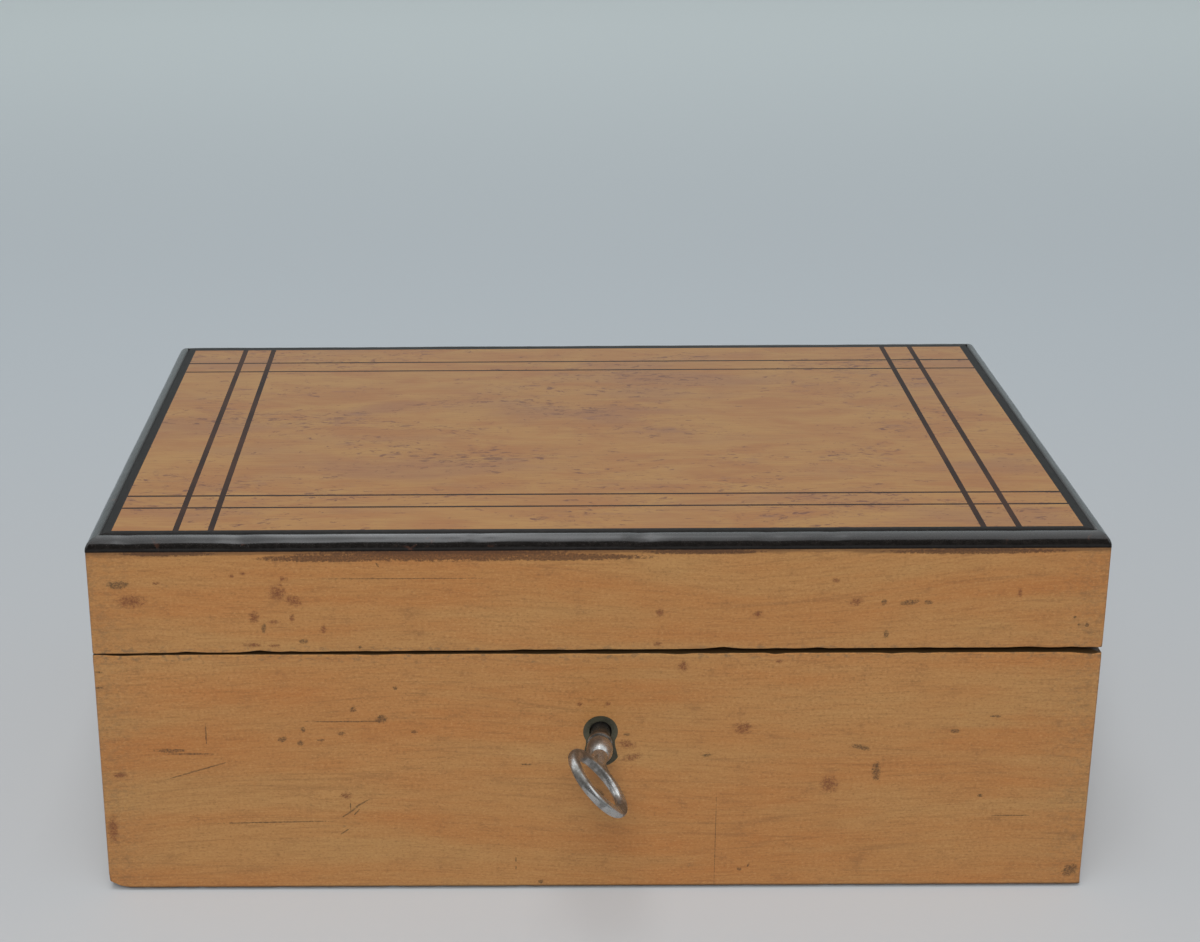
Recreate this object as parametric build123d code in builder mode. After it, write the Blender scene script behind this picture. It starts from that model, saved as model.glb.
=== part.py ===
"""Hinged wooden games box with an ebonised lid moulding, inlaid stringing, a lock and its key.

Millimetres. The origin is the centre of the underside, +X runs to the right, +Y to the
back and +Z up. The lid is shut and the key stands in the lock, as the box is shown.
"""

from build123d import *
from math import cos, radians, sin, tan
import os

# ------------------------------------------------------------------ the box as a whole
WIDTH = 240.0
DEPTH = 160.0
FRONT = -DEPTH / 2  # y of the front face
BACK = DEPTH / 2
SEAM = 63.2  # mid-height of the gap between base and lid
SEAM_GAP = 1.2
BASE_RIM = SEAM - SEAM_GAP / 2
LID_RIM = SEAM + SEAM_GAP / 2
LID_TOP = 92.7
MOULDING_BED = 89.4  # underside of the black moulding
WALL = 8.0
INNER_Y = DEPTH / 2 - WALL  # inside face of the front and back boards

# ------------------------------------------------------------------ boards and panels
BOTTOM_THICK = 6.0
BOTTOM_REBATE = 4.0
PANEL_THICK = 6.0
CORNER_ROUND = 0.5  # upright arrises
RIM_ROUND = 0.3  # arrises along the seam
FOOT_ROUND = 0.3  # arrises along the underside
DIVIDER_THICK = 5.0
DIVIDER_TOP = 55.0
DADO_DEEP = 2.0
DADO_TOP_FRONT = 31.0  # the front dado stops below the lock
DIVIDER_SETBACK = 0.4  # clearance between the divider and the lock's back plate

# ------------------------------------------------------------------ lid trim
MOULDING_WIDE = 5.6
MOULDING_ROUND = 3.0
QUIRK_INSET = 3.3  # from the outside to the groove between the bead and its flat
QUIRK_WIDE = 0.6
QUIRK_DEEP = 0.5
STRING_DEEP = 1.2
SIDE_STRING_WIDE = 1.45  # the strings that run front to back
CROSS_STRING_WIDE = 0.95  # the strings that run left to right
STRING_INSETS = (20.7, 29.0)  # from the outside of the front, left and right
BACK_STRING_INSETS = (18.9, 27.4)

# ------------------------------------------------------------------ hinges
HINGE_X = 78.0  # from the middle to each hinge's centre
HINGE_LONG = 25.0
KNUCKLES = 5
KNUCKLE_RADIUS = 1.8
KNUCKLE_CLEAR = 0.25
KNUCKLE_GAP = 0.1
PIN_RADIUS = 0.8
PIN_RUNNING = 0.05
PIVOT_INSET = 2.0
PIVOT_Y = BACK - PIVOT_INSET
LEAF_THICK = 1.1
STOP_BEVEL = 52.0  # degrees cut from each back arris, so the lid stops just past upright
HINGE_SCREW_X = (-8.0, 0.0, 8.0)
HINGE_SCREW_Y = INNER_Y + 1.9

# ------------------------------------------------------------------ escutcheon
KEY_X = 1.1
KEY_Z = 42.4
ESCUTCHEON_DEEP = 2.5
ESCUTCHEON_HEAD = 4.2
ESCUTCHEON_BAND = 1.5
WAIST_HALF = 3.5
WAIST_TOP = 2.3  # this, WAIST_LOW, FLARE_LOW and KEYHOLE_LOW are measured down from the key's axis
WAIST_LOW = 3.5
FLARE_LOW = 6.8
FLARE_HALF = 4.3
KEYHOLE_LOW = 9.3

# ------------------------------------------------------------------ lock
PLATE_HALF = 22.0
PLATE_LOW = 33.4
PLATE_THICK = 1.0
PLATE_FRONT = -INNER_Y - PLATE_THICK
SELVEDGE_FRONT = FRONT + ESCUTCHEON_DEEP
SELVEDGE_LOW = 62.0
CAP_HALF = 17.5
CAP_LOW = 36.0
CAP_THICK = 0.6
DRILL_PIN_RADIUS = 1.0
DRILL_PIN_LONG = 5.5
LOCK_SCREW_X = 19.8
LOCK_SCREW_Z = (38.0, 57.0)
LINK_PLATE_TOP = 64.4
LINK_SCREW_X = 19.0
LINK_SCREW_Y = -74.9
BOLT_THROW = 5.0
BOLT_FRONT = -75.9
BOLT_BACK = -74.0
BOLT_LOW = KEY_Z + 4.75
BOLT_BAR_TOP = 53.5
BOLT_LEFT = KEY_X - 16.4
BOLT_RIGHT = KEY_X + 11.5
ARM_TOP = 60.1
PRONG_LOW = 57.7
PRONG_TOP = 59.9
PRONG_LONG = 4.4
ARM_WIDE = 2.6
ARM_RIGHT = (KEY_X - 13.8, KEY_X + 5.0)
TALON_HALF = 2.65
TALON_TOP = 49.4
GUIDE_PIN_RADIUS = 0.9
GUIDE_SLOT_RADIUS = 1.0
GUIDE_PIN_X = (KEY_X - 9.0, KEY_X + 9.5)
GUIDE_PIN_Z = 50.8
STAPLE_X = (KEY_X - 7.4, KEY_X + 11.4)
STAPLE_Y = -74.9
STAPLE_WIDE = 2.4
STAPLE_THICK = 3.5
STAPLE_LOW = 56.6
EYE_LOW = 57.4
EYE_TOP = 60.2
EYE_WIDE = 2.2
STAPLE_SLOT = (3.0, 4.1)
SPRING_THICK = 0.35

# ------------------------------------------------------------------ key
KEY_REST = 42.0  # degrees that the bow leans from upright, its top to the left
KEY_YAW = 3.6  # degrees that the key and the lock's pin swing to the left
SHANK_RADIUS = 2.4
BARREL_BORE = 1.05
BARREL_DEEP = 6.0
SHANK_TIP = 6.7  # how far the barrel reaches in behind the front face
COLLAR_OUT = 6.0  # everything from here on is measured out from the front face
COLLAR_RADIUS = 2.95
COLLAR_END = 6.7
COLLAR_NECK = 2.45
KNOB_RADIUS = 3.15
KNOB_NECK = 2.0
KNOB_OUT = 9.9  # where the knob is fullest
KNOB_END = 13.2
BOW_CENTRE = 26.4
BOW_ALONG = 8.7
BOW_ACROSS = 9.65
BOW_BAND = 2.95
BOW_THICK = 2.3
BOW_ROUND = 1.05
SHOULDER_THICK = 1.8
SHOULDER_NECK = 1.5  # half its width where it leaves the knob
SHOULDER_WAIST = (16.6, 1.9)  # where along the key, and half its width
SHOULDER_BOW = (19.4, 4.4)
BIT_TIP = 6.6
BIT_HALF = 1.0
BIT_INNER = (3.6, 6.5)  # how far in behind the front face the bit starts and ends
WARD_CUT = (4.7, 5.3)
WARD_DEEP = 1.6


def mitred_plan(side, wide):
    """Corner points, in plan, of one member of a mitred frame that is wide millimetres across."""
    out_x, out_y = WIDTH / 2, DEPTH / 2
    in_x, in_y = out_x - wide, out_y - wide
    plans = {
        "front": [(-out_x, -out_y), (out_x, -out_y), (in_x, -in_y), (-in_x, -in_y)],
        "back": [(out_x, out_y), (-out_x, out_y), (-in_x, in_y), (in_x, in_y)],
        "left": [(-out_x, out_y), (-out_x, -out_y), (-in_x, -in_y), (-in_x, in_y)],
        "right": [(out_x, -out_y), (out_x, out_y), (in_x, in_y), (in_x, -in_y)],
    }
    return plans[side]


def wood_screw(length, head_radius, slotted=True):
    """Countersunk wood screw, its flat head at z = 0 and its point down."""
    shank = head_radius * 0.52
    head_deep = head_radius * 0.6
    point = shank * 1.6
    with BuildPart() as screw:
        with BuildSketch(Plane.XZ):
            with BuildLine():
                Polyline(
                    (0, 0),
                    (head_radius, 0),
                    (shank, -head_deep),
                    (shank, point - length),
                    (shank * 0.25, -length),
                    (0, -length),
                    close=True,
                )
            make_face()
        revolve(axis=Axis.Z)
        if slotted:
            with BuildSketch():
                Rectangle(2.2 * head_radius, 0.32 * head_radius)
            extrude(amount=-0.45 * head_deep, mode=Mode.SUBTRACT)
    return screw.part


def box_between(low, high):
    """Plain block between two corners, made apart from any part that is open."""
    size = [high[i] - low[i] for i in range(3)]
    middle = [(high[i] + low[i]) / 2 for i in range(3)]
    return Pos(*middle) * Box(*size, mode=Mode.PRIVATE)


# ================================================================== shapes cut from the boards
# The outside of the base, with its worn arrises: every base board is trimmed to it.
with BuildPart() as base_outside:
    Box(WIDTH, DEPTH, BASE_RIM, align=(Align.CENTER, Align.CENTER, Align.MIN))
    fillet(base_outside.edges().filter_by(Axis.Z), CORNER_ROUND)
    fillet(base_outside.faces().sort_by(Axis.Z)[-1].edges(), RIM_ROUND)
    fillet(base_outside.faces().sort_by(Axis.Z)[0].edges(), FOOT_ROUND)

# The outside of the lid up to its moulding.
with BuildPart() as lid_outside:
    with BuildSketch(Plane.XY.offset(LID_RIM)):
        Rectangle(WIDTH, DEPTH)
    extrude(amount=MOULDING_BED - LID_RIM)
    fillet(lid_outside.edges().filter_by(Axis.Z), CORNER_ROUND)
    fillet(lid_outside.faces().sort_by(Axis.Z)[0].edges(), RIM_ROUND)

# The wedge planed off both back arrises: its faces meet when the lid is thrown back.
with BuildPart() as back_bevel:
    with BuildSketch(Plane.YZ):
        with BuildLine():
            reach = 2 * PIVOT_INSET
            rise = reach * tan(radians(STOP_BEVEL))
            Polyline(
                (PIVOT_Y, SEAM),
                (PIVOT_Y + reach, SEAM - rise),
                (PIVOT_Y + reach, SEAM + rise),
                close=True,
            )
        make_face()
    extrude(amount=WIDTH / 2 + 1, both=True)

# The round hollow in which each hinge's knuckles turn.
with BuildPart() as knuckle_hollow:
    for hinge_x in (-HINGE_X, HINGE_X):
        with BuildSketch(Plane.YZ.offset(hinge_x)):
            with Locations((PIVOT_Y, SEAM)):
                Circle(KNUCKLE_RADIUS + KNUCKLE_CLEAR)
        extrude(amount=HINGE_LONG / 2 + KNUCKLE_CLEAR, both=True)

# The outline of the keyhole plate, drawn on the front face.
KEYHOLE_PLANE = Plane(origin=(KEY_X, FRONT, KEY_Z), x_dir=(1, 0, 0), z_dir=(0, -1, 0))
with BuildSketch(KEYHOLE_PLANE) as escutcheon_outline:
    Circle(ESCUTCHEON_HEAD)
    with BuildLine():
        Line((FLARE_HALF, -FLARE_LOW), (WAIST_HALF, -WAIST_LOW))
        Line((WAIST_HALF, -WAIST_LOW), (WAIST_HALF, -WAIST_TOP))
        Line((WAIST_HALF, -WAIST_TOP), (-WAIST_HALF, -WAIST_TOP))
        Line((-WAIST_HALF, -WAIST_TOP), (-WAIST_HALF, -WAIST_LOW))
        Line((-WAIST_HALF, -WAIST_LOW), (-FLARE_HALF, -FLARE_LOW))
        ThreePointArc((-FLARE_HALF, -FLARE_LOW), (0, -KEYHOLE_LOW), (FLARE_HALF, -FLARE_LOW))
    make_face()
with BuildSketch(KEYHOLE_PLANE) as keyhole_outline:
    add(escutcheon_outline.sketch_local)
    offset(amount=-ESCUTCHEON_BAND, kind=Kind.INTERSECTION, mode=Mode.REPLACE)

# ================================================================== screws
hinge_screw = wood_screw(length=6.0, head_radius=1.25)
hinge_screw_hole = wood_screw(length=6.0, head_radius=1.25, slotted=False)
lock_screw = wood_screw(length=4.2, head_radius=1.2)
lock_screw_hole = wood_screw(length=4.2, head_radius=1.2, slotted=False)
link_screw = wood_screw(length=8.0, head_radius=1.5)
link_screw_hole = wood_screw(length=8.0, head_radius=1.5, slotted=False)

hinge_screw_spots = [
    (hinge_x + along, HINGE_SCREW_Y) for hinge_x in (-HINGE_X, HINGE_X) for along in HINGE_SCREW_X
]
# A screw's head faces up in the base, down in the lid and into the box on the lock.
base_screw_places = [Location((x, y, BASE_RIM)) for x, y in hinge_screw_spots]
lid_screw_places = [Location((x, y, LID_RIM), (180, 0, 0)) for x, y in hinge_screw_spots]
lock_screw_places = [
    Location((KEY_X + side * LOCK_SCREW_X, -INNER_Y, z), (-90, 0, 0))
    for side in (-1, 1)
    for z in LOCK_SCREW_Z
]
link_screw_places = [
    Location((KEY_X + side * LINK_SCREW_X, LINK_SCREW_Y, SEAM), (180, 0, 0)) for side in (-1, 1)
]

with BuildPart() as hinge_base_screws:
    with Locations(*base_screw_places):
        add(hinge_screw)

with BuildPart() as hinge_lid_screws:
    with Locations(*lid_screw_places):
        add(hinge_screw)

with BuildPart() as lock_screws:
    with Locations(*lock_screw_places):
        add(lock_screw)

with BuildPart() as link_plate_screws:
    with Locations(*link_screw_places):
        add(link_screw)


# ================================================================== base boards
def base_board(side):
    """Mitred side board of the base, rebated below for the bottom."""
    with BuildPart() as board:
        with BuildSketch():
            with BuildLine():
                Polyline(*mitred_plan(side, WALL), close=True)
            make_face()
        extrude(amount=BASE_RIM)
        with BuildSketch():
            Rectangle(WIDTH - 2 * BOTTOM_REBATE, DEPTH - 2 * BOTTOM_REBATE)
        extrude(amount=BOTTOM_THICK, mode=Mode.SUBTRACT)
        add(base_outside.part, mode=Mode.INTERSECT)
        add(back_bevel.part, mode=Mode.SUBTRACT)
    return board.part


def leaf_seat(z_low, z_high):
    """Shallow seats for both hinges' leaves, let into a back rim between two heights."""
    with BuildPart() as seat:
        for hinge_x in (-HINGE_X, HINGE_X):
            with BuildSketch(Plane.XY.offset(z_low)):
                with Locations((hinge_x, (INNER_Y + PIVOT_Y) / 2)):
                    Rectangle(HINGE_LONG, PIVOT_Y - INNER_Y)
            extrude(amount=z_high - z_low)
    return seat.part


with BuildPart() as base_left_board:
    add(base_board("left"))

with BuildPart() as base_right_board:
    add(base_board("right"))

with BuildPart() as base_back_board:
    add(base_board("back"))
    add(knuckle_hollow.part, mode=Mode.SUBTRACT)
    add(leaf_seat(BASE_RIM - LEAF_THICK, BASE_RIM + SEAM_GAP), mode=Mode.SUBTRACT)
    with Locations(*base_screw_places):
        add(hinge_screw_hole, mode=Mode.SUBTRACT)
    # Dado for the divider.
    add(
        box_between(
            (-DIVIDER_THICK / 2, INNER_Y - 1, BOTTOM_THICK),
            (DIVIDER_THICK / 2, INNER_Y + DADO_DEEP, DIVIDER_TOP),
        ),
        mode=Mode.SUBTRACT,
    )

with BuildPart() as base_front_board:
    add(base_board("front"))
    # Seat of the lock's back plate, then the deeper mortise for its case.
    add(
        box_between(
            (KEY_X - PLATE_HALF, PLATE_FRONT, PLATE_LOW),
            (KEY_X + PLATE_HALF, -INNER_Y + 1, BASE_RIM + 1),
        ),
        mode=Mode.SUBTRACT,
    )
    add(
        box_between(
            (KEY_X - PLATE_HALF, SELVEDGE_FRONT, SELVEDGE_LOW),
            (KEY_X + PLATE_HALF, -INNER_Y + 1, BASE_RIM + 1),
        ),
        mode=Mode.SUBTRACT,
    )
    add(
        box_between(
            (KEY_X - CAP_HALF, SELVEDGE_FRONT, CAP_LOW),
            (KEY_X + CAP_HALF, -INNER_Y + 1, BASE_RIM + 1),
        ),
        mode=Mode.SUBTRACT,
    )
    # The keyhole plate is let in flush with the front.
    with BuildSketch(KEYHOLE_PLANE):
        add(escutcheon_outline.sketch_local)
    extrude(amount=-ESCUTCHEON_DEEP, mode=Mode.SUBTRACT)
    with Locations(*lock_screw_places):
        add(lock_screw_hole, mode=Mode.SUBTRACT)
    # Dado for the divider, stopped below the lock.
    add(
        box_between(
            (-DIVIDER_THICK / 2, -INNER_Y - DADO_DEEP, BOTTOM_THICK),
            (DIVIDER_THICK / 2, -INNER_Y + 1, DADO_TOP_FRONT),
        ),
        mode=Mode.SUBTRACT,
    )

with BuildPart() as base_bottom_board:
    with BuildSketch():
        Rectangle(WIDTH - 2 * BOTTOM_REBATE, DEPTH - 2 * BOTTOM_REBATE)
    extrude(amount=BOTTOM_THICK)

# The divider runs front to back. Its front end is cut away above the dado, clear of the lock.
with BuildPart() as compartment_divider:
    with BuildSketch(Plane.YZ):
        with BuildLine():
            Polyline(
                (-INNER_Y - DADO_DEEP, BOTTOM_THICK),
                (INNER_Y + DADO_DEEP, BOTTOM_THICK),
                (INNER_Y + DADO_DEEP, DIVIDER_TOP),
                (-INNER_Y + DIVIDER_SETBACK, DIVIDER_TOP),
                (-INNER_Y + DIVIDER_SETBACK, DADO_TOP_FRONT),
                (-INNER_Y - DADO_DEEP, DADO_TOP_FRONT),
                close=True,
            )
        make_face()
    extrude(amount=DIVIDER_THICK / 2, both=True)


# ================================================================== lid
def lid_rail(side):
    """Mitred side rail of the lid, rebated inside for the top panel."""
    with BuildPart() as rail:
        with BuildSketch(Plane.XY.offset(LID_RIM)):
            with BuildLine():
                Polyline(*mitred_plan(side, WALL), close=True)
            make_face()
        extrude(amount=MOULDING_BED - LID_RIM)
        with BuildSketch(Plane.XY.offset(LID_TOP - PANEL_THICK)):
            Rectangle(WIDTH - 2 * MOULDING_WIDE, DEPTH - 2 * MOULDING_WIDE)
        extrude(amount=PANEL_THICK, mode=Mode.SUBTRACT)
        add(lid_outside.part, mode=Mode.INTERSECT)
        add(back_bevel.part, mode=Mode.SUBTRACT)
    return rail.part


with BuildPart() as lid_left_rail:
    add(lid_rail("left"))

with BuildPart() as lid_right_rail:
    add(lid_rail("right"))

with BuildPart() as lid_back_rail:
    add(lid_rail("back"))
    add(knuckle_hollow.part, mode=Mode.SUBTRACT)
    add(leaf_seat(LID_RIM - SEAM_GAP, LID_RIM + LEAF_THICK), mode=Mode.SUBTRACT)
    with Locations(*lid_screw_places):
        add(hinge_screw_hole, mode=Mode.SUBTRACT)

with BuildPart() as lid_front_rail:
    add(lid_rail("front"))
    # Seat of the link plate that the bolt holds down.
    add(
        box_between(
            (KEY_X - PLATE_HALF, SELVEDGE_FRONT, LID_RIM - 1),
            (KEY_X + PLATE_HALF, -INNER_Y + 1, LINK_PLATE_TOP),
        ),
        mode=Mode.SUBTRACT,
    )
    with Locations(*link_screw_places):
        add(link_screw_hole, mode=Mode.SUBTRACT)

# Strings are let in along both pairs of sides, and cross near the corners of the panel.
PANEL_HALF_X = WIDTH / 2 - MOULDING_WIDE
PANEL_HALF_Y = DEPTH / 2 - MOULDING_WIDE
side_string_x = {
    "left": [-WIDTH / 2 + inset for inset in STRING_INSETS],
    "right": [WIDTH / 2 - inset for inset in STRING_INSETS],
}
cross_string_y = {
    "front": [-DEPTH / 2 + inset for inset in STRING_INSETS],
    "back": [DEPTH / 2 - inset for inset in BACK_STRING_INSETS],
}
STRING_PLANE = Plane.XY.offset(LID_TOP)

stringing = {}
for side, places in side_string_x.items():
    with BuildPart() as strings:
        with BuildSketch(STRING_PLANE):
            with Locations(*[(x, 0) for x in places]):
                Rectangle(SIDE_STRING_WIDE, 2 * PANEL_HALF_Y)
        extrude(amount=-STRING_DEEP)
    stringing[side] = strings

# The left-to-right strings are cut through where they meet the others.
for side, places in cross_string_y.items():
    with BuildPart() as strings:
        with BuildSketch(STRING_PLANE):
            with Locations(*[(0, y) for y in places]):
                Rectangle(2 * PANEL_HALF_X, CROSS_STRING_WIDE)
        extrude(amount=-STRING_DEEP)
        add(stringing["left"].part, mode=Mode.SUBTRACT)
        add(stringing["right"].part, mode=Mode.SUBTRACT)
    stringing[side] = strings

with BuildPart() as lid_top_panel:
    with BuildSketch(Plane.XY.offset(LID_TOP - PANEL_THICK)):
        Rectangle(2 * PANEL_HALF_X, 2 * PANEL_HALF_Y)
    extrude(amount=PANEL_THICK)
    with BuildSketch(STRING_PLANE):
        with Locations(*[(x, 0) for places in side_string_x.values() for x in places]):
            Rectangle(SIDE_STRING_WIDE, 2 * PANEL_HALF_Y)
        with Locations(*[(0, y) for places in cross_string_y.values() for y in places]):
            Rectangle(2 * PANEL_HALF_X, CROSS_STRING_WIDE)
    extrude(amount=-STRING_DEEP, mode=Mode.SUBTRACT)

# The moulding's outside, rounded along its top edge: each mitred length is trimmed to it.
with BuildPart() as moulding_outside:
    with BuildSketch(Plane.XY.offset(MOULDING_BED)):
        Rectangle(WIDTH, DEPTH)
    extrude(amount=LID_TOP - MOULDING_BED)
    fillet(moulding_outside.edges().filter_by(Axis.Z), CORNER_ROUND)
    fillet(moulding_outside.faces().sort_by(Axis.Z)[-1].edges(), MOULDING_ROUND)

# A V-shaped groove runs right round between the bead and the flat beside the panel.
with BuildPart() as quirk:
    with BuildSketch(Plane.XY.offset(LID_TOP)):
        Rectangle(*[size - 2 * (QUIRK_INSET - QUIRK_WIDE / 2) for size in (WIDTH, DEPTH)])
    with BuildSketch(Plane.XY.offset(LID_TOP - QUIRK_DEEP)):
        Rectangle(WIDTH - 2 * QUIRK_INSET, DEPTH - 2 * QUIRK_INSET)
    loft()
    with BuildSketch(Plane.XY.offset(LID_TOP)):
        Rectangle(*[size - 2 * (QUIRK_INSET + QUIRK_WIDE / 2) for size in (WIDTH, DEPTH)])
    with BuildSketch(Plane.XY.offset(LID_TOP - QUIRK_DEEP)):
        Rectangle(WIDTH - 2 * QUIRK_INSET, DEPTH - 2 * QUIRK_INSET)
    loft(mode=Mode.SUBTRACT)

mouldings = {}
for side in ("front", "back", "left", "right"):
    with BuildPart() as length:
        with BuildSketch(Plane.XY.offset(MOULDING_BED)):
            with BuildLine():
                Polyline(*mitred_plan(side, MOULDING_WIDE), close=True)
            make_face()
        extrude(amount=LID_TOP - MOULDING_BED)
        add(moulding_outside.part, mode=Mode.INTERSECT)
        add(quirk.part, mode=Mode.SUBTRACT)
    mouldings[side] = length


# ================================================================== hinges
def hinge_leaf(hinge_x, leaf_low, own_knuckles, bore, screw_hole_places):
    """One leaf with its knuckles. leaf_low is the height of the leaf's underside."""
    pitch = HINGE_LONG / KNUCKLES
    clear_of_knuckles = PIVOT_Y - KNUCKLE_RADIUS - KNUCKLE_CLEAR + 0.05
    with BuildPart() as leaf:
        with BuildSketch(Plane.XY.offset(leaf_low)):
            with Locations((hinge_x, (INNER_Y + clear_of_knuckles) / 2)):
                Rectangle(HINGE_LONG, clear_of_knuckles - INNER_Y)
        extrude(amount=LEAF_THICK)
        for index in own_knuckles:
            knuckle_x = hinge_x + (index - (KNUCKLES - 1) / 2) * pitch
            with BuildSketch(Plane.YZ.offset(knuckle_x)):
                with Locations((PIVOT_Y, SEAM)):
                    Circle(KNUCKLE_RADIUS)
                with Locations(((clear_of_knuckles + PIVOT_Y) / 2 - 0.1, leaf_low + LEAF_THICK / 2)):
                    Rectangle(PIVOT_Y - clear_of_knuckles + 0.2, LEAF_THICK)
            extrude(amount=(pitch - KNUCKLE_GAP) / 2, both=True)
        with BuildSketch(Plane.YZ.offset(hinge_x)):
            with Locations((PIVOT_Y, SEAM)):
                Circle(bore)
        extrude(amount=HINGE_LONG / 2, both=True, mode=Mode.SUBTRACT)
        with Locations(*screw_hole_places):
            add(hinge_screw_hole, mode=Mode.SUBTRACT)
    return leaf


hinge_leaves = {}
for side, hinge_x, first_screw in (("left", -HINGE_X, 0), ("right", HINGE_X, 3)):
    holes = slice(first_screw, first_screw + 3)
    hinge_leaves["hinge_base_leaf_" + side] = hinge_leaf(
        hinge_x, BASE_RIM - LEAF_THICK, (0, 2, 4), PIN_RADIUS, base_screw_places[holes]
    )
    hinge_leaves["hinge_lid_leaf_" + side] = hinge_leaf(
        hinge_x, LID_RIM, (1, 3), PIN_RADIUS + PIN_RUNNING, lid_screw_places[holes]
    )

with BuildPart() as hinge_pins:
    for hinge_x in (-HINGE_X, HINGE_X):
        with BuildSketch(Plane.YZ.offset(hinge_x)):
            with Locations((PIVOT_Y, SEAM)):
                Circle(PIN_RADIUS)
        extrude(amount=HINGE_LONG / 2, both=True)

# ================================================================== lock
with BuildPart() as escutcheon:
    with BuildSketch(KEYHOLE_PLANE):
        add(escutcheon_outline.sketch_local)
        add(keyhole_outline.sketch_local, mode=Mode.SUBTRACT)
    extrude(amount=-ESCUTCHEON_DEEP)

# Back plate and selvedge are one bent piece of brass.
with BuildPart() as lock_plate:
    add(
        box_between(
            (KEY_X - PLATE_HALF, PLATE_FRONT, PLATE_LOW),
            (KEY_X + PLATE_HALF, -INNER_Y, SEAM),
        )
    )
    add(
        box_between(
            (KEY_X - PLATE_HALF, SELVEDGE_FRONT, SELVEDGE_LOW),
            (KEY_X + PLATE_HALF, -INNER_Y, SEAM),
        )
    )
    with BuildSketch(Plane.XY.offset(SEAM)):
        with Locations(*[(x, STAPLE_Y) for x in STAPLE_X]):
            Rectangle(*STAPLE_SLOT)
    extrude(amount=SELVEDGE_LOW - SEAM, mode=Mode.SUBTRACT)
    with Locations(*lock_screw_places):
        add(lock_screw_hole, mode=Mode.SUBTRACT)

# The cap is a shallow tray that closes the front of the lock.
with BuildPart() as lock_cap:
    add(
        box_between(
            (KEY_X - CAP_HALF, SELVEDGE_FRONT, CAP_LOW),
            (KEY_X + CAP_HALF, PLATE_FRONT, SELVEDGE_LOW),
        )
    )
    add(
        box_between(
            (KEY_X - CAP_HALF + CAP_THICK, SELVEDGE_FRONT + CAP_THICK, CAP_LOW + CAP_THICK),
            (KEY_X + CAP_HALF - CAP_THICK, PLATE_FRONT + 1, SELVEDGE_LOW + 1),
        ),
        mode=Mode.SUBTRACT,
    )
    with BuildSketch(KEYHOLE_PLANE):
        add(keyhole_outline.sketch_local)
    extrude(amount=-(ESCUTCHEON_DEEP + CAP_THICK), mode=Mode.SUBTRACT)

# The key turns about a line that leaves the front a little to the left, as the pin stands askew.
KEY_POINT = Vector(KEY_X, FRONT, KEY_Z)
OUTWARD = Vector(-sin(radians(KEY_YAW)), -cos(radians(KEY_YAW)), 0)
PIN_ROOT = KEY_POINT - OUTWARD * (PLATE_FRONT - FRONT + PLATE_THICK / 2)
with BuildPart() as lock_drill_pin:
    with BuildSketch(Plane(origin=PIN_ROOT, z_dir=OUTWARD)):
        Circle(DRILL_PIN_RADIUS)
    extrude(amount=DRILL_PIN_LONG + PLATE_THICK / 2)
    fillet(lock_drill_pin.edges().sort_by(Axis.Y)[0], 0.5)
    add(lock_plate.part, mode=Mode.SUBTRACT)

with BuildPart() as bolt_guide_pins:
    for pin_x in GUIDE_PIN_X:
        with BuildSketch(Plane(origin=(pin_x, PLATE_FRONT, GUIDE_PIN_Z), z_dir=(0, -1, 0))):
            Circle(GUIDE_PIN_RADIUS)
        extrude(amount=PLATE_FRONT - BOLT_FRONT + 0.5)

# The bolt slides sideways. Its two prongs pass through the staples of the link plate.
BOLT_PLANE = Plane(origin=(0, BOLT_BACK, 0), x_dir=(1, 0, 0), z_dir=(0, -1, 0))
# The bit's notch, with the bolt drawn back, lies about where the key's line crosses the bolt.
KEY_AT_BOLT = KEY_X + ((BOLT_FRONT + BOLT_BACK) / 2 - FRONT) * tan(radians(KEY_YAW))
TALON_X = KEY_AT_BOLT - BOLT_THROW / 2
with BuildPart() as lock_bolt:
    with BuildSketch(BOLT_PLANE):
        with Locations(((BOLT_LEFT + BOLT_RIGHT) / 2, (BOLT_LOW + BOLT_BAR_TOP) / 2)):
            Rectangle(BOLT_RIGHT - BOLT_LEFT, BOLT_BAR_TOP - BOLT_LOW)
        for arm_right in ARM_RIGHT:
            with Locations((arm_right - ARM_WIDE / 2, (BOLT_BAR_TOP + ARM_TOP) / 2)):
                Rectangle(ARM_WIDE, ARM_TOP - BOLT_BAR_TOP)
            with Locations((arm_right + PRONG_LONG / 2 - 0.5, (PRONG_LOW + PRONG_TOP) / 2)):
                Rectangle(PRONG_LONG + 1, PRONG_TOP - PRONG_LOW)
        with Locations((TALON_X, (BOLT_LOW + TALON_TOP) / 2 - 0.5)):
            Rectangle(2 * TALON_HALF, TALON_TOP - BOLT_LOW + 1, mode=Mode.SUBTRACT)
        for pin_x in GUIDE_PIN_X:
            with Locations((pin_x - BOLT_THROW / 2, GUIDE_PIN_Z)):
                SlotCenterToCenter(BOLT_THROW, 2 * GUIDE_SLOT_RADIUS, mode=Mode.SUBTRACT)
    extrude(amount=BOLT_BACK - BOLT_FRONT)

# A leaf spring rides on the bolt and rubs under the selvedge, so the bolt stays where it is put.
with BuildPart() as lock_bolt_spring:
    with BuildSketch(BOLT_PLANE):
        with BuildLine():
            foot = Line(
                (KEY_X - 8.0, BOLT_BAR_TOP + SPRING_THICK / 2),
                (KEY_X - 4.0, BOLT_BAR_TOP + SPRING_THICK / 2),
            )
            TangentArc(foot @ 1, (KEY_X + 1.5, SELVEDGE_LOW - 0.5), tangent=foot % 1)
        trace(line_width=SPRING_THICK)
    extrude(amount=BOLT_BACK - BOLT_FRONT)

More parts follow.
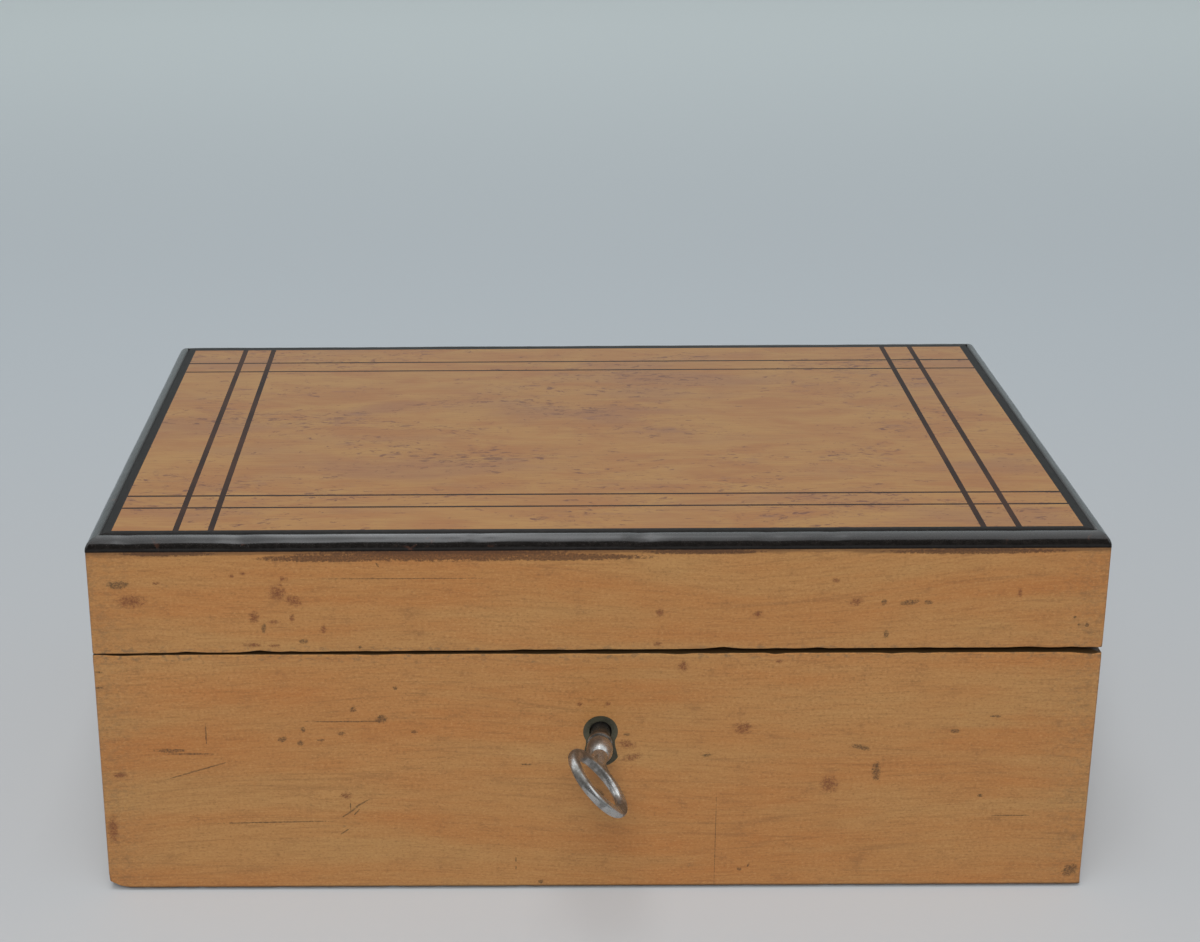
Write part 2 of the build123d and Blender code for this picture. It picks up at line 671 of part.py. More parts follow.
with BuildPart() as link_plate:
    add(
        box_between(
            (KEY_X - PLATE_HALF, SELVEDGE_FRONT, SEAM),
            (KEY_X + PLATE_HALF, -INNER_Y, LINK_PLATE_TOP),
        )
    )
    with Locations(*link_screw_places):
        add(link_screw_hole, mode=Mode.SUBTRACT)

with BuildPart() as link_staples:
    for staple_x in STAPLE_X:
        with BuildSketch(Plane.YZ.offset(staple_x)):
            with Locations((STAPLE_Y, (STAPLE_LOW + SEAM) / 2)):
                Rectangle(STAPLE_THICK, SEAM - STAPLE_LOW)
            with Locations((STAPLE_Y, (EYE_LOW + EYE_TOP) / 2)):
                Rectangle(EYE_WIDE, EYE_TOP - EYE_LOW, mode=Mode.SUBTRACT)
        extrude(amount=STAPLE_WIDE / 2, both=True)

# ================================================================== key
# Drawn in the plane of the bow: x runs out from the front face along the key, y towards the bit.
LEAN = radians(KEY_REST)
SIDEWAYS = OUTWARD.cross(Vector(0, 0, 1))  # level, square to the key, to the left
BOW_PLANE = Plane(
    origin=KEY_POINT,
    x_dir=OUTWARD,
    z_dir=SIDEWAYS * cos(LEAN) - Vector(0, 0, 1) * sin(LEAN),
)
KEY_AXIS = Axis(KEY_POINT, OUTWARD)

# The bow is a flat oval ring with its edges rounded over.
with BuildPart() as key_bow:
    with BuildSketch(BOW_PLANE):
        with Locations((BOW_CENTRE, 0)):
            Ellipse(BOW_ALONG, BOW_ACROSS)
            Ellipse(BOW_ALONG - BOW_BAND, BOW_ACROSS - BOW_BAND, mode=Mode.SUBTRACT)
    extrude(amount=BOW_THICK / 2, both=True)
    fillet(key_bow.edges(), BOW_ROUND)

with BuildPart() as key:
    # The turned stem: barrel, collar, knob and the neck that runs into the bow.
    with BuildSketch(BOW_PLANE):
        with BuildLine():
            Polyline(
                (BOW_CENTRE - BOW_ALONG + BOW_BAND / 2, 0),
                (-SHANK_TIP, 0),
                (-SHANK_TIP, SHANK_RADIUS - 0.2),
                (0.2 - SHANK_TIP, SHANK_RADIUS),
                (COLLAR_OUT, SHANK_RADIUS),
                (COLLAR_OUT, COLLAR_RADIUS),
                (COLLAR_END, COLLAR_RADIUS),
                (COLLAR_END, COLLAR_NECK),
            )
            ThreePointArc(
                (COLLAR_END, COLLAR_NECK), (KNOB_OUT, KNOB_RADIUS), (KNOB_END, KNOB_NECK)
            )
            Polyline(
                (KNOB_END, KNOB_NECK),
                (BOW_CENTRE - BOW_ALONG + BOW_BAND / 2, BOW_THICK / 2),
                (BOW_CENTRE - BOW_ALONG + BOW_BAND / 2, 0),
            )
        make_face()
    revolve(axis=KEY_AXIS)
    add(key_bow.part)
    # The flat shoulders that spread from the neck into the bow.
    with BuildSketch(BOW_PLANE):
        with BuildLine():
            upper = Spline(
                (KNOB_END, SHOULDER_NECK),
                SHOULDER_WAIST,
                SHOULDER_BOW,
            )
            lower = Spline(
                (KNOB_END, -SHOULDER_NECK),
                (SHOULDER_WAIST[0], -SHOULDER_WAIST[1]),
                (SHOULDER_BOW[0], -SHOULDER_BOW[1]),
            )
            Line(upper @ 0, lower @ 0)
            Line(upper @ 1, lower @ 1)
        make_face()
    extrude(amount=SHOULDER_THICK / 2, both=True)
    # The bit, with one cut for the ward.
    with BuildSketch(BOW_PLANE):
        with Locations((-sum(BIT_INNER) / 2, BIT_TIP / 2 + SHANK_RADIUS / 4)):
            Rectangle(BIT_INNER[1] - BIT_INNER[0], BIT_TIP - SHANK_RADIUS / 2)
        with Locations((-sum(WARD_CUT) / 2, BIT_TIP - WARD_DEEP / 2)):
            Rectangle(WARD_CUT[1] - WARD_CUT[0], WARD_DEEP, mode=Mode.SUBTRACT)
    extrude(amount=BIT_HALF, both=True)
    # The barrel is drilled to turn on the lock's pin.
    with BuildSketch(Plane(origin=KEY_POINT - OUTWARD * SHANK_TIP, z_dir=OUTWARD)):
        Circle(BARREL_BORE)
    extrude(amount=BARREL_DEEP, mode=Mode.SUBTRACT)

# ================================================================== write the pieces
os.makedirs("parts", exist_ok=True)
pieces = {
    "base_front_board": base_front_board,
    "base_back_board": base_back_board,
    "base_left_board": base_left_board,
    "base_right_board": base_right_board,
    "base_bottom_board": base_bottom_board,
    "compartment_divider": compartment_divider,
    "escutcheon": escutcheon,
    "lock_plate": lock_plate,
    "lock_cap": lock_cap,
    "lock_drill_pin": lock_drill_pin,
    "bolt_guide_pins": bolt_guide_pins,
    "lock_screws": lock_screws,
    "lock_bolt": lock_bolt,
    "lock_bolt_spring": lock_bolt_spring,
    "key": key,
    "hinge_pins": hinge_pins,
    "hinge_base_screws": hinge_base_screws,
    "hinge_lid_screws": hinge_lid_screws,
    "lid_front_rail": lid_front_rail,
    "lid_back_rail": lid_back_rail,
    "lid_left_rail": lid_left_rail,
    "lid_right_rail": lid_right_rail,
    "lid_top_panel": lid_top_panel,
    "link_plate": link_plate,
    "link_staples": link_staples,
    "link_plate_screws": link_plate_screws,
}
pieces.update(hinge_leaves)
pieces.update({"lid_moulding_" + side: length for side, length in mouldings.items()})
pieces.update({"stringing_" + side: strings for side, strings in stringing.items()})

for name, piece in pieces.items():
    piece.part.label = name
    export_step(piece.part, "parts/" + name + ".step")
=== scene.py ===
from math import radians

import bpy
from mathutils import Matrix, Vector, noise


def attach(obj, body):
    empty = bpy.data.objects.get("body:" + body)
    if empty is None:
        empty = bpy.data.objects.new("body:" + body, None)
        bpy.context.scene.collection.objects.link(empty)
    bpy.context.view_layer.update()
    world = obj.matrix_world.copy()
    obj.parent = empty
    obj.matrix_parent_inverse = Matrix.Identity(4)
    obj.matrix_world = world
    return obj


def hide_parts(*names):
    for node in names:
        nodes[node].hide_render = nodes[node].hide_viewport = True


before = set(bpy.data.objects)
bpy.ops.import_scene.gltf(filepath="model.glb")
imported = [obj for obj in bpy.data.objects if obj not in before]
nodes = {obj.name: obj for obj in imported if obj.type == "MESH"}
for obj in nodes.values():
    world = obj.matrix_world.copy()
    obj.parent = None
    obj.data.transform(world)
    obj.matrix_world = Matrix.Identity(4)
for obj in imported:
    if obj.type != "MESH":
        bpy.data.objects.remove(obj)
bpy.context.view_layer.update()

# ---------------------------------------------------------------------------------------
# The camera stands a little left of the middle, at the height of a seated viewer's eye,
# and looks down on the lid. Its place comes from the box's own straight edges.
CAMERA_PLACE = (-0.0203, -0.5535, 0.2788)
CAMERA_YAW = -0.299
CAMERA_PITCH = 19.72
CAMERA_ROLL = 0.399
CAMERA_LENS = 65.46
CAMERA_FILM = 36.0
VIEW_SHIFT = (0.0837, 0.0004)

bpy.ops.object.camera_add()
camera = bpy.context.object
camera.matrix_world = (
    Matrix.Translation(CAMERA_PLACE)
    @ Matrix.Rotation(radians(-CAMERA_YAW), 4, "Z")
    @ Matrix.Rotation(radians(90 - CAMERA_PITCH), 4, "X")
    @ Matrix.Rotation(radians(-CAMERA_ROLL), 4, "Z")
)
camera.data.lens = CAMERA_LENS
camera.data.sensor_width = CAMERA_FILM
camera.data.shift_x, camera.data.shift_y = VIEW_SHIFT
camera.data.clip_start = 0.01
bpy.context.scene.camera = camera
bpy.context.scene.view_settings.view_transform = "Standard"


# ---------------------------------------------------------------------------------------
# The box stands on a plain pale sheet of paper that runs far back under soft daylight; its colour
# grows lighter and bluer towards the back, and a painted glow, seen only by the camera, rises with
# distance.
FLOOR_DROP = 0.0007
FLOOR_HALF = 6.0
NEAR_GREY = (0.500, 0.518, 0.535)
MIDDLE_GREY = (0.515, 0.572, 0.615)
FAR_GREY = (0.690, 0.775, 0.805)
PAINTED_GLOW = (0.130, 0.150, 0.148)


# Finishes are built from wires. A wire is one socket of a material, and a sum written on
# wires adds the Math nodes that work it out. Places are read in millimetres.
class Wire:
    def __init__(self, tree, socket):
        self.tree = tree
        self.socket = socket

    def node(self, kind, settings, inputs, output=0):
        made = self.tree.nodes.new("ShaderNode" + kind)
        for name, value in settings.items():
            setattr(made, name, value)
        for name, value in inputs.items():
            if isinstance(value, Wire):
                self.tree.links.new(value.socket, made.inputs[name])
            else:
                made.inputs[name].default_value = value
        return Wire(self.tree, made.outputs[output])

    def maths(self, operation, first, second=0.0):
        return self.node("Math", {"operation": operation}, {0: first, 1: second})

    def __add__(self, other):
        return self.maths("ADD", self, other)

    def __sub__(self, other):
        return self.maths("SUBTRACT", self, other)

    def __mul__(self, other):
        return self.maths("MULTIPLY", self, other)

    def __radd__(self, other):
        return self.maths("ADD", other, self)

    def __rsub__(self, other):
        return self.maths("SUBTRACT", other, self)

    def __rmul__(self, other):
        return self.maths("MULTIPLY", other, self)

    def __abs__(self):
        return self.maths("ABSOLUTE", self)

    def most(self, other):
        return self.maths("MAXIMUM", self, other)

    def least(self, other):
        return self.maths("MINIMUM", self, other)

    def above(self, low, high):
        """Rises smoothly from 0 at low to 1 at high, and falls where low is the larger."""
        limits = {"Value": self, "From Min": low, "From Max": high}
        return self.node("MapRange", {"interpolation_type": "SMOOTHSTEP"}, limits)

    def axes(self):
        """A place's own x, y and z."""
        return [self.node("SeparateXYZ", {}, {0: self}, output=axis) for axis in range(3)]

    def stretched(self, x, y, z):
        return self.node("VectorMath", {"operation": "MULTIPLY"}, {0: self, 1: (x, y, z)})

    def shifted(self, x=0.0, y=0.0, z=0.0):
        """A place moved by numbers or wires."""
        shift = self.node("CombineXYZ", {}, {"X": x, "Y": y, "Z": z})
        return self.node("VectorMath", {"operation": "ADD"}, {0: self, 1: shift})

    def noise(self, detail=2.0, roughness=0.5, warp=0.0):
        inputs = {"Vector": self, "Scale": 1.0, "Detail": detail, "Roughness": roughness}
        return self.node("TexNoise", {}, {**inputs, "Distortion": warp})

    def oval(self, middle, half, tilt):
        """1 in the middle of an oval that stands upright across the front, 0 past its edge."""
        x, z = middle
        long, tall = half
        front_face = -80.0
        reach = 30.0
        spread = {
            "Location": (x, front_face, z),
            "Rotation": (0.0, radians(-tilt), 0.0),
            "Scale": (long, reach, tall),
        }
        turned = self.node("Mapping", {"vector_type": "TEXTURE"}, {"Vector": self, **spread})
        return turned.node("TexGradient", {"gradient_type": "SPHERICAL"}, {"Vector": turned}, output=1)

    def under(self, colour, amount):
        """This colour with another laid over it, by an amount from 0 to 1."""
        if not isinstance(colour, Wire):
            colour = (*colour, 1.0)
        return self.node("Mix", {"data_type": "RGBA"}, {0: amount, 6: self, 7: colour}, output=2)

    def colour(self, first, second):
        """The first colour where this wire is 0, turning to the second where it is 1."""
        inputs = {0: self, 6: (*first, 1.0), 7: (*second, 1.0)}
        return self.node("Mix", {"data_type": "RGBA"}, inputs, output=2)

    def bumped(self, depth):
        """A surface that stands up by depth, in millimetres, where this wire is 1."""
        return self.node("Bump", {}, {"Strength": 1.0, "Distance": depth * 0.001, "Height": self})

    def feeds(self, shader, name):
        self.tree.links.new(self.socket, shader.inputs[name])


def new_finish(name, roughness, metallic=0.0):
    """A new material, its shader, and the place on the piece in millimetres."""
    finish = bpy.data.materials.new(name)
    finish.use_nodes = True
    tree = finish.node_tree
    shader = tree.nodes["Principled BSDF"]
    shader.inputs["Roughness"].default_value = roughness
    shader.inputs["Metallic"].default_value = metallic
    coords = tree.nodes.new("ShaderNodeTexCoord")
    place = Wire(tree, coords.outputs["Object"]).stretched(1000.0, 1000.0, 1000.0)
    return finish, shader, place



paper, shader, place = new_finish("paper_floor", 0.9)
depth = place.axes()[1]
fibres = place.stretched(0.8, 0.8, 0.8).noise(detail=2.0)
tone = depth.above(-150.0, 500.0).colour(NEAR_GREY, MIDDLE_GREY).under(FAR_GREY, depth.above(500.0, 1700.0))
tone.under((0.45, 0.45, 0.45), fibres * 0.05).feeds(shader, "Base Color")
shader.inputs["Specular IOR Level"].default_value = 0.1
shader.inputs["Emission Strength"].default_value = 1.0
# A painted glow that only the camera sees rises on the floor towards the back.
camera_ray = Wire(place.tree, place.tree.nodes.new("ShaderNodeLightPath").outputs["Is Camera Ray"])
(camera_ray * depth.above(0.0, 1500.0)).colour((0.0, 0.0, 0.0), PAINTED_GLOW).feeds(shader, "Emission Color")

bpy.ops.object.select_all(action="DESELECT")
bpy.ops.mesh.primitive_plane_add(size=2.0 * FLOOR_HALF, location=(0.0, 0.0, -FLOOR_DROP))
floor = bpy.context.object
floor.name = "paper_floor"
floor.data.materials.append(paper)
bpy.ops.object.transform_apply(location=True)


# ---------------------------------------------------------------------------------------
# Even daylight fills the room. Polished faces show it dark in front, with one soft box
# overhead that fades to its sides, and a fainter one to the left and to the right.
ROOM_GREY = (0.434, 0.491, 0.503)
ROOM_LIGHT = (0.20, 0.20, 0.20)
SOFT_BOX = (3.8, 3.9, 4.0)
DARK_ROOM = (0.035, 0.034, 0.032)
world = bpy.data.worlds.new("room")
bpy.context.scene.world = world
world.use_nodes = True
room = world.node_tree
rays = room.nodes.new("ShaderNodeLightPath")
gloss = Wire(room, rays.outputs["Is Glossy Ray"]).most(Wire(room, rays.outputs["Is Transmission Ray"]))
seen = Wire(room, rays.outputs["Is Camera Ray"]).most(gloss)
heading = Wire(room, room.nodes.new("ShaderNodeTexCoord").outputs["Generated"])
sideways, forward, upward = heading.axes()
in_front = forward.above(0.15, -0.35)
fading = abs(sideways + 0.03).above(-0.03, 0.13) * 0.74
overhead = (upward + forward * 0.2).above(0.62, 0.74) * (1.0 - fading)
beside = abs(sideways).above(0.60, 0.72) * upward.above(0.20, 0.40) * 0.3
room_tone = seen.colour(ROOM_LIGHT, ROOM_GREY)
room_tone = room_tone.under(DARK_ROOM, gloss * in_front)
room_tone = room_tone.under(SOFT_BOX, gloss * overhead.most(beside))
room_tone.feeds(room.nodes["Background"], "Color")


def soft_lamp(name, place, power, wide, tall):
    """A soft panel of light that faces the middle of the box; gloss shows the room instead."""
    bpy.ops.object.light_add(type="AREA", location=place)
    lamp = bpy.context.object
    lamp.name = name
    lamp.data.shape = "RECTANGLE"
    lamp.data.energy = power
    lamp.data.size = wide
    lamp.data.size_y = tall
    aim = Vector((0.0, 0.0, 0.06)) - Vector(place)
    lamp.rotation_euler = aim.to_track_quat("-Z", "Y").to_euler()
    lamp.visible_camera = False
    lamp.visible_glossy = False


soft_lamp("overhead_panel", (-0.1, -0.8, 2.1), 23.0, 1.1, 1.4)
soft_lamp("front_panel", (-0.12, -1.95, 1.35), 36.0, 0.9, 1.0)


# ---------------------------------------------------------------------------------------
# The boards of the box are close-grained pale wood under an old honey-brown varnish, dull
# and hand-worn, with the grain lying along each board. The inside was left unvarnished.
HALF_WIDE = 120.0
HALF_DEEP = 80.0
WALL = 8.0
SEAM = 63.2
HALF_GAP = 0.6
MOULDING_BED = 89.4

HONEY = (0.352, 0.165, 0.050)
ORANGE = (0.345, 0.134, 0.034)
STRAW = (0.350, 0.186, 0.062)
BROWN = (0.185, 0.082, 0.027)
STAIN_RED = (0.120, 0.034, 0.010)
GRIME = (0.095, 0.072, 0.042)
INK = (0.030, 0.018, 0.008)
PALE = (0.430, 0.236, 0.086)
UNDER_BEAD = (0.058, 0.022, 0.008)
BARE_WOOD = (0.46, 0.27, 0.125)
RIM_WOOD = (0.240, 0.125, 0.052)

# Each mark is its middle across and up the front, its half length, its half height and
# how far it is tilted.
RED_STAINS = (
    (-75.2, 79.0, 3.0, 3.0, 20), (-71.5, 77.0, 3.4, 1.7, -20), (-81.0, 72.8, 1.8, 2.3, 0),
    (-73.8, 82.6, 1.5, 1.0, 0), (-72.0, 72.6, 0.9, 1.5, 0), (-76.5, 71.6, 2.2, 0.7, 0),
    (-81.6, 65.6, 3.0, 0.8, 0), (-76.6, 65.4, 2.0, 0.6, 0),
    (-64.7, 69.6, 1.0, 1.3, 0), (-110.0, 77.0, 5.0, 2.4, 0), (-103.6, 81.6, 1.4, 0.7, 0),
    (-86.0, 83.3, 0.9, 0.8, 0), (-83.2, 84.0, 1.0, 0.6, 0),
    (14.8, 73.5, 1.4, 1.6, 0), (14.5, 65.4, 1.4, 0.8, 0), (56.0, 81.5, 1.3, 0.9, 0),
    (61.0, 76.0, 2.6, 1.4, 10), (99.4, 78.2, 0.8, 1.6, 0), (38.0, 73.0, 1.8, 1.3, 0),
    (20.7, 59.6, 1.8, 2.2, 0), (35.4, 43.2, 3.4, 2.4, 0), (43.5, 60.8, 1.2, 0.9, 0),
    (7.4, 39.0, 3.2, 1.6, -10), (8.6, 35.5, 3.6, 1.4, 12), (-4.0, 49.8, 1.1, 1.0, 0),
    (2.9, 49.9, 0.9, 0.9, 0), (-115.3, 31.2, 2.6, 1.2, 0), (-118.0, 16.5, 1.8, 5.0, 0),
    (-60.7, 25.4, 2.0, 1.4, 0), (56.8, 28.0, 3.0, 3.4, 10),
)
DARK_MARKS = (
    (-51.6, 46.0, 1.9, 1.5, 0), (-48.1, 54.2, 0.9, 0.7, 0), (-58.3, 48.6, 1.2, 0.9, 10),
    (-61.3, 42.2, 1.2, 0.6, 10), (-43.7, 42.6, 1.1, 0.6, 0), (-75.6, 40.7, 1.5, 0.9, 20),
    (-71.2, 39.7, 1.2, 1.0, 0), (-70.5, 43.3, 0.7, 1.0, 0), (-66.4, 40.5, 1.2, 0.4, 0),
    (-112.6, 81.2, 3.4, 1.5, 0), (-56.2, 65.0, 0.5, 0.6, 0), (67.6, 75.8, 0.9, 1.0, 0),
    (73.5, 75.8, 3.0, 0.9, 10), (78.0, 75.8, 1.4, 0.7, 0), (68.5, 67.5, 0.8, 1.6, 0),
    (112.8, 71.8, 0.55, 0.55, 0), (113.9, 70.0, 0.5, 0.5, 0), (115.8, 69.8, 0.7, 0.7, 0),
    (27.0, 36.0, 2.0, 0.5, 10), (-16.9, 33.7, 1.8, 0.3, 0), (64.0, 37.9, 3.0, 0.9, -15),
    (68.0, 31.5, 1.4, 3.4, 0), (95.9, 46.0, 2.0, 0.4, 0), (86.5, 42.1, 1.6, 0.7, 0),
    (93.6, 24.7, 1.0, 0.6, 0), (-118.9, 58.7, 1.3, 0.35, 0), (-118.9, 54.6, 1.3, 0.35, 0),
    (35.6, 4.6, 0.7, 0.6, 0), (37.8, 5.8, 0.3, 1.0, -20), (117.0, 4.0, 2.6, 2.0, 30),
    (-98.0, 36.9, 9.0, 0.35, 0), (-103.0, 37.8, 5.0, 0.7, 0), (-94.0, 42.0, 0.3, 4.0, 0),
    (-13.3, 1.4, 0.8, 0.8, 0), (7.5, 41.6, 1.2, 0.5, 0), (-78.8, 69.9, 0.8, 1.8, 0),
    (-69.5, 66.5, 1.4, 0.8, 0), (0.4, 25.7, 2.2, 1.6, -20),
)
BEAD_STREAKS = (
    (-36.0, 88.4, 42.0, 2.0, 0), (-62.0, 87.7, 22.0, 1.2, 0), (-8.0, 87.7, 26.0, 1.1, 0),
    (88.0, 88.7, 26.0, 0.9, 0), (24.0, 88.9, 18.0, 0.8, 0), (-101.0, 89.0, 14.0, 0.8, 0),
)
SCRATCHES = (
    (-60.0, 20.8, 3.4, 0.28, 36), (-57.0, 23.2, 3.0, 0.28, 32), (-58.2, 20.9, 1.4, 0.25, 50),
    (-61.2, 15.6, 1.8, 0.25, 36), (-59.7, 22.4, 0.22, 1.6, 0), (-51.6, 86.0, 0.9, 0.25, -60),
    (-19.4, 7.6, 0.2, 1.0, 0), (-19.4, 5.2, 0.2, 0.8, 0), (29.5, 12.0, 0.12, 18.0, 0),
    (101.5, 19.2, 6.0, 0.22, 0), (-59.8, 45.4, 12.6, 0.22, 0), (-78.0, 18.2, 19.0, 0.24, 1),
    (-96.5, 32.4, 11.0, 0.24, 17), (-46.0, 82.5, 26.0, 0.16, 0),
)


def marks(place, ragged, ovals, edge, softness):
    """The ovals, broken up towards their edges: 1 within them and 0 outside."""
    found = None
    for x, z, long, tall, tilt in ovals:
        one = place.oval((x, z), (long, tall), tilt)
        found = one if found is None else found.most(one)
    return (found + ragged * found.above(0.0, 0.3)).above(edge, edge + softness)


def along_grain(place, along, slow, quick):
    """The place stretched out along the grain, X or Y."""
    if along == "X":
        return place.stretched(slow, quick, quick)
    return place.stretched(quick, slow, quick)


def varnished_board(name, along, front):
    """Honey-brown varnished wood, with the photographed marks where it is the front."""
    finish, shader, place = new_finish(name, 0.5)
    x, y, z = place.axes()
    wander = along_grain(place, along, 0.008, 0.02).noise(detail=1.0) * 16.0
    wood = place.shifted(z=wander)
    bands = along_grain(wood, along, 0.009, 0.075).noise(detail=4.0, roughness=0.6)
    clouds = along_grain(wood, along, 0.035, 0.09).noise(detail=4.0, roughness=0.65)
    fibres = along_grain(wood, along, 0.10, 1.5).noise(detail=4.0, roughness=0.72)
    ticks = along_grain(wood, along, 0.40, 1.9).noise(detail=2.0, roughness=0.6)
    lines = abs(along_grain(wood, along, 0.005, 0.14).noise(detail=1.5) - 0.5).above(0.014, 0.0)
    tone = bands.above(0.35, 0.66).colour(STRAW, ORANGE)
    tone = tone.under(HONEY, clouds.above(0.3, 0.75) * 0.6)
    tone = tone.under(BROWN, fibres.above(0.46, 0.78) * 0.6)
    tone = tone.under(PALE, fibres.above(0.52, 0.22) * 0.35)
    tone = tone.under(BROWN, lines * clouds.above(0.40, 0.58) * 0.34)
    tone = tone.under(BROWN, ticks.above(0.63, 0.76) * bands.above(0.38, 0.56) * 0.55)
    smudges = place.stretched(0.15, 0.15, 0.2).noise(detail=6.0, roughness=0.72)
    tone = tone.under(BROWN, smudges.above(0.52, 0.74) * 0.5)
    tone = tone.under(ORANGE, smudges.above(0.42, 0.24) * 0.6)
    dirt = place.stretched(0.5, 0.5, 0.8).noise(detail=4.0, roughness=0.7)
    tone = tone.under(GRIME, dirt.above(0.60, 0.74) * smudges.above(0.50, 0.62) * 0.55)
    ends = abs(x).above(102.0, 121.0) * dirt.above(0.42, 0.62)
    tone = tone.under(GRIME, ends * 0.3)
    flecks = along_grain(place, along, 1.2, 2.0).noise(detail=4.0, roughness=0.72)
    tone = tone.under(BROWN, flecks.above(0.50, 0.70) * 0.62)
    tone = tone.under(PALE, flecks.above(0.48, 0.30) * 0.62)
    # Grime and painted shade darken the boards within a few millimetres of the seam between lid and base.
    seam_grime_and_shade = abs(z - SEAM).above(3.2, 0.5) * dirt.above(0.50, 0.64)
    tone = tone.under(GRIME, seam_grime_and_shade * 0.55)
    streaks = along_grain(place, along, 0.05, 0.8).noise(detail=3.0, roughness=0.6)
    shade = (streaks * 2.6 + z).above(MOULDING_BED - 0.1, MOULDING_BED + 1.0)
    tone = tone.under(UNDER_BEAD, shade * 0.6)
    if front:
        rough = place.stretched(1.0, 1.0, 1.2).noise(detail=5.0, roughness=0.75)
        ragged = (rough - 0.5) * 2.6
        mottled = place.stretched(1.8, 1.8, 2.4).noise(detail=3.0, roughness=0.7).above(0.36, 0.62)
        red = marks(place, ragged, RED_STAINS, 0.06, 0.75)
        dark = marks(place, ragged, DARK_MARKS, 0.10, 0.4)
        scratch = marks(place, ragged, SCRATCHES, 0.1, 0.28)
        drips = marks(place, ragged, BEAD_STREAKS, 0.1, 0.28)
        tone = tone.under(STAIN_RED, red * (mottled * 0.56 + 0.34))
        tone = tone.under(INK, dark * (mottled * 0.52 + 0.26))
        tone = tone.under(INK, scratch * (mottled * 0.35 + 0.4))
        tone = tone.under(UNDER_BEAD, drips * (mottled * 0.28 + 0.6))
    nearest = (HALF_WIDE - abs(x)).least(HALF_DEEP - abs(y))
    # Grime and painted contact shadow darken the bottom edge of the boards.
    tone = tone.under(INK, z.above(0.8, 0.2) * 0.75)
    # The rims where lid and base meet are darker, dirty wood; near their outer edge grime and painted seam
    # shade make them nearly black.
    rims = abs(z - SEAM).above(1.6, 1.2) * nearest.above(0.05, 0.35)
    tone = tone.under(RIM_WOOD, rims * 0.75)
    tone = tone.under(INK, rims * (dirt * 1.5 + nearest).above(5.2, 3.2) * 0.9)
    inside = abs(x).above(HALF_WIDE - WALL + 0.6, HALF_WIDE - WALL)
    inside = inside * abs(y).above(HALF_DEEP - WALL + 0.6, HALF_DEEP - WALL)
    tone = tone.under(BARE_WOOD, inside * 0.62)
    tone.feeds(shader, "Base Color")
    (fibres * 0.16 + dirt * 0.14 + 0.36 + inside * 0.3).feeds(shader, "Roughness")
    (fibres + ticks * 0.5).bumped(0.05).feeds(shader, "Normal")
    return finish


def dress(piece, finish):
    for slot in piece.material_slots:
        slot.material = finish


front_wood = varnished_board("varnished_front_wood", "X", True)
long_wood = varnished_board("varnished_long_wood", "X", False)
short_wood = varnished_board("varnished_short_wood", "Y", False)

WEAR_NEAR = (0.35, 0.7, 1.4)
RIM_NEAR = (0.35, 0.8, 1.6, 4.0)
SLICE = 2.5
SMOOTH_BELOW = 35.0


def copied(node):
    """A copy of one piece whose loose triangles are joined into clean faces."""
    bpy.ops.object.select_all(action="DESELECT")
    piece = nodes[node].copy()
    piece.data = nodes[node].data.copy()
    piece.name = node + "_worn"
    bpy.context.collection.objects.link(piece)
    piece.select_set(True)
    bpy.context.view_layer.objects.active = piece
    bpy.ops.object.mode_set(mode="EDIT")
    bpy.ops.mesh.select_all(action="SELECT")
    bpy.ops.mesh.remove_doubles(threshold=0.000002)
    bpy.ops.mesh.dissolve_limited(angle_limit=radians(0.5))
    bpy.ops.object.mode_set(mode="OBJECT")
    return piece


def sliced(piece, cuts):
    """Cut the piece's faces, not the piece, at each place in millimetres along an axis."""
    bpy.ops.object.mode_set(mode="EDIT")
    for axis, where in cuts:
        across = [0.0, 0.0, 0.0]
        across[axis] = 1.0
        through = [0.0, 0.0, 0.0]
        through[axis] = where * 0.001
        bpy.ops.mesh.select_all(action="SELECT")
        bpy.ops.mesh.bisect(plane_co=through, plane_no=across)
    bpy.ops.object.mode_set(mode="OBJECT")


def grown(distance, reach):
    """1 at a distance of 0, falling evenly to 0 at the reach."""
    return max(0.0, 1.0 - abs(distance) / reach)


# Each chip is where it is along the front, its half length and its depth.
LID_CHIPS = (
    (-97.0, 4.0, 0.35), (-80.0, 4.0, 0.55), (-72.0, 1.5, 0.3), (-18.0, 2.5, 0.25), (30.0, 4.5, 0.5),
    (52.0, 3.0, 0.3), (102.0, 5.0, 0.3), (112.0, 2.5, 0.2),
)
BASE_CHIPS = (
    (-112.0, 5.0, 0.35), (-52.0, 4.0, 0.25), (6.0, 2.0, 0.25), (19.0, 3.0, 0.4), (43.0, 2.0, 0.35),
    (70.0, 3.0, 0.3), (117.0, 4.0, 0.6),
)
# The rims have moved by a level, a slope and a curve along the front.
LID_SET = (0.12, 0.25, -0.27)
BASE_SET = (0.35, -0.20, 0.0)
BROKEN_FOOT = (4.2, 2.2, 4.5)
WEAR_DEEP = 2.2
ARRIS_WEAR = 1.6
RIM_WEAR = 4.0
SET_BACK = 16.0


